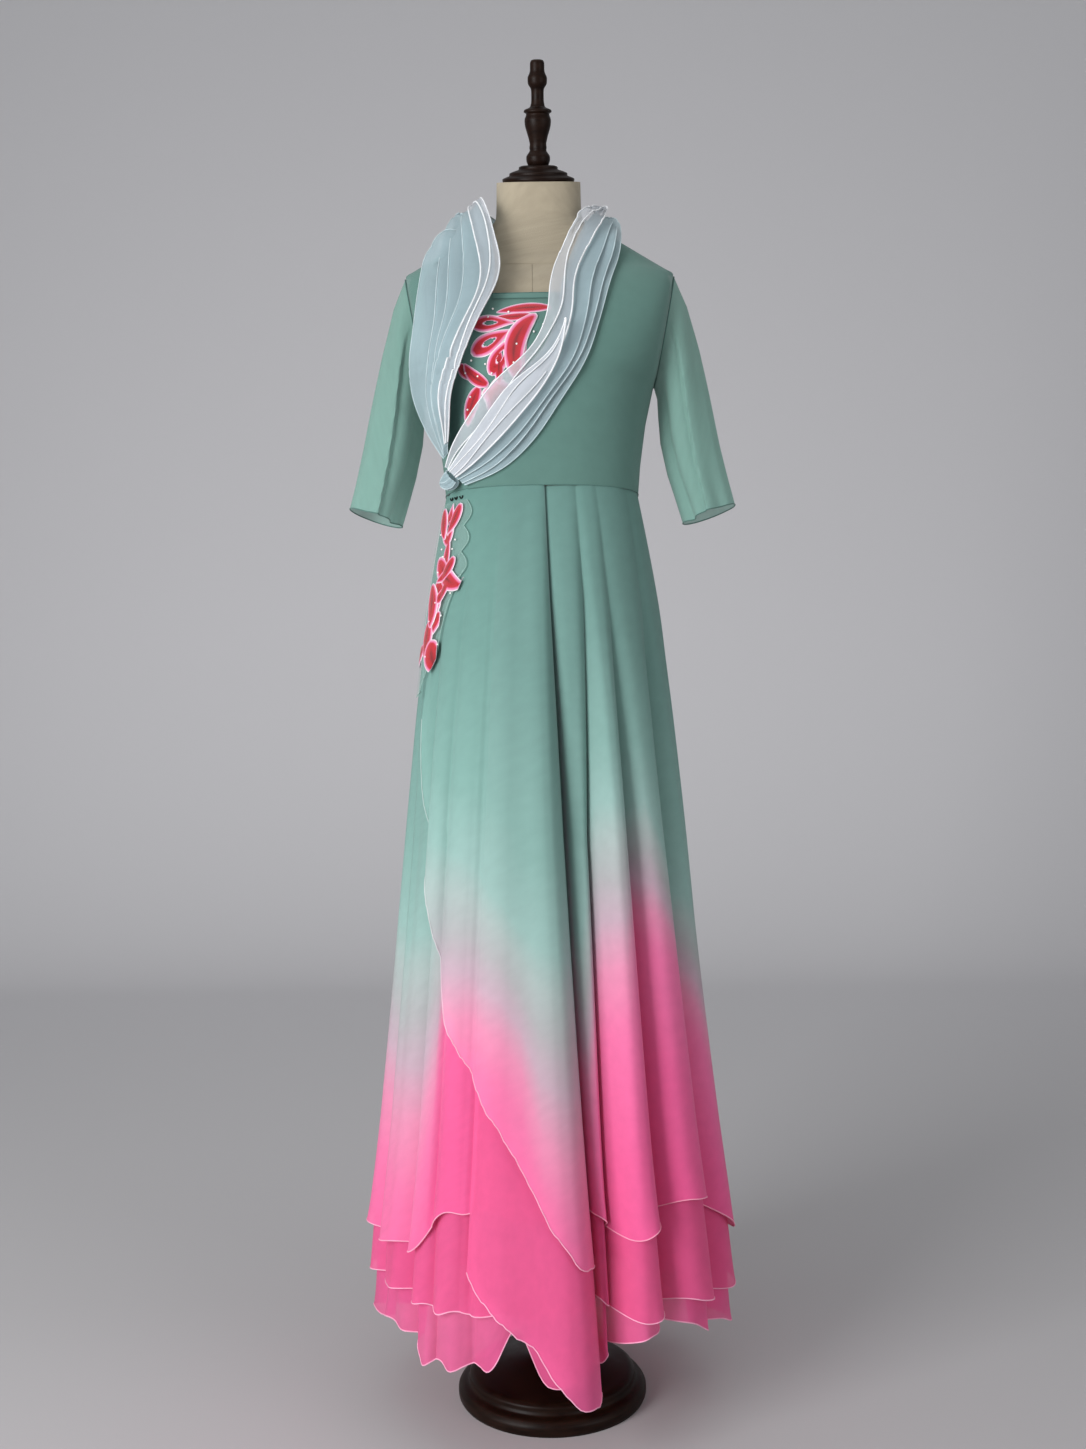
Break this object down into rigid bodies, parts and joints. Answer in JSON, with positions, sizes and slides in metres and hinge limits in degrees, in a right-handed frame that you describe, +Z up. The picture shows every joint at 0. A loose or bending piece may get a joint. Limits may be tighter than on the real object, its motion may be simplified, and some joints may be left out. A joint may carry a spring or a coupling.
{
  "type": "dance dress on dress form",
  "caption": "Long dance dress of layered chiffon dyed sea green to pink, with petal collars, embroidery and elbow sleeves, on a limbless dress form with a turned wooden base.",
  "frame": {"origin": "on the floor, at the centre of the round base's underside", "axes": "+Z up along the pole, the dress faces -Y, and the waist knot is on the -X side"},
  "size_m": [0.516, 0.4822, 1.7759],
  "materials": {
    "green_chiffon": "matt, fine crepe weave",
    "sheer_green_chiffon": "matt, see-through",
    "dip_dyed_chiffon": "matt, sea green fading to grey-lilac and pink",
    "pink_chiffon": "matt, slightly see-through at the hems",
    "blue_grey_organza": "crisp, sheer, faint sheen",
    "white_organza": "crisp, sheer, faint sheen",
    "embroidered_net": "net with satin-stitch flowers",
    "linen": "matt plain weave",
    "turned_wood": "dark stain, satin lacquer",
    "dark_metal": "satin black"
  },
  "bodies": {
    "root": {"bodice_back": "green_chiffon", "bodice_front": "green_chiffon", "collar_knot": "blue_grey_organza", "collar_left_inner": "white_organza", "collar_left_petal_1": "blue_grey_organza", "collar_left_petal_2": "blue_grey_organza", "collar_left_petal_3": "blue_grey_organza", "collar_left_petal_4": "blue_grey_organza", "collar_right_inner": "white_organza", "collar_right_petal_1": "blue_grey_organza", "collar_right_petal_2": "blue_grey_organza", "collar_right_petal_3": "blue_grey_organza", "collar_right_white": "white_organza", "form_base": "turned_wood", "form_finial": "turned_wood", "form_neck_cap": "turned_wood", "form_pole": "dark_metal", "form_torso": "linen", "hip_applique": "embroidered_net", "hook_1": "dark_metal", "hook_2": "dark_metal", "hook_3": "dark_metal", "neckline_binding": "green_chiffon", "skirt_overlay_1": "dip_dyed_chiffon", "skirt_overlay_2": "pink_chiffon", "skirt_tier_1": "dip_dyed_chiffon", "skirt_tier_2": "pink_chiffon", "skirt_tier_3": "pink_chiffon", "sleeve_left": "sheer_green_chiffon", "sleeve_right": "sheer_green_chiffon"}
  },
  "joints": []
}
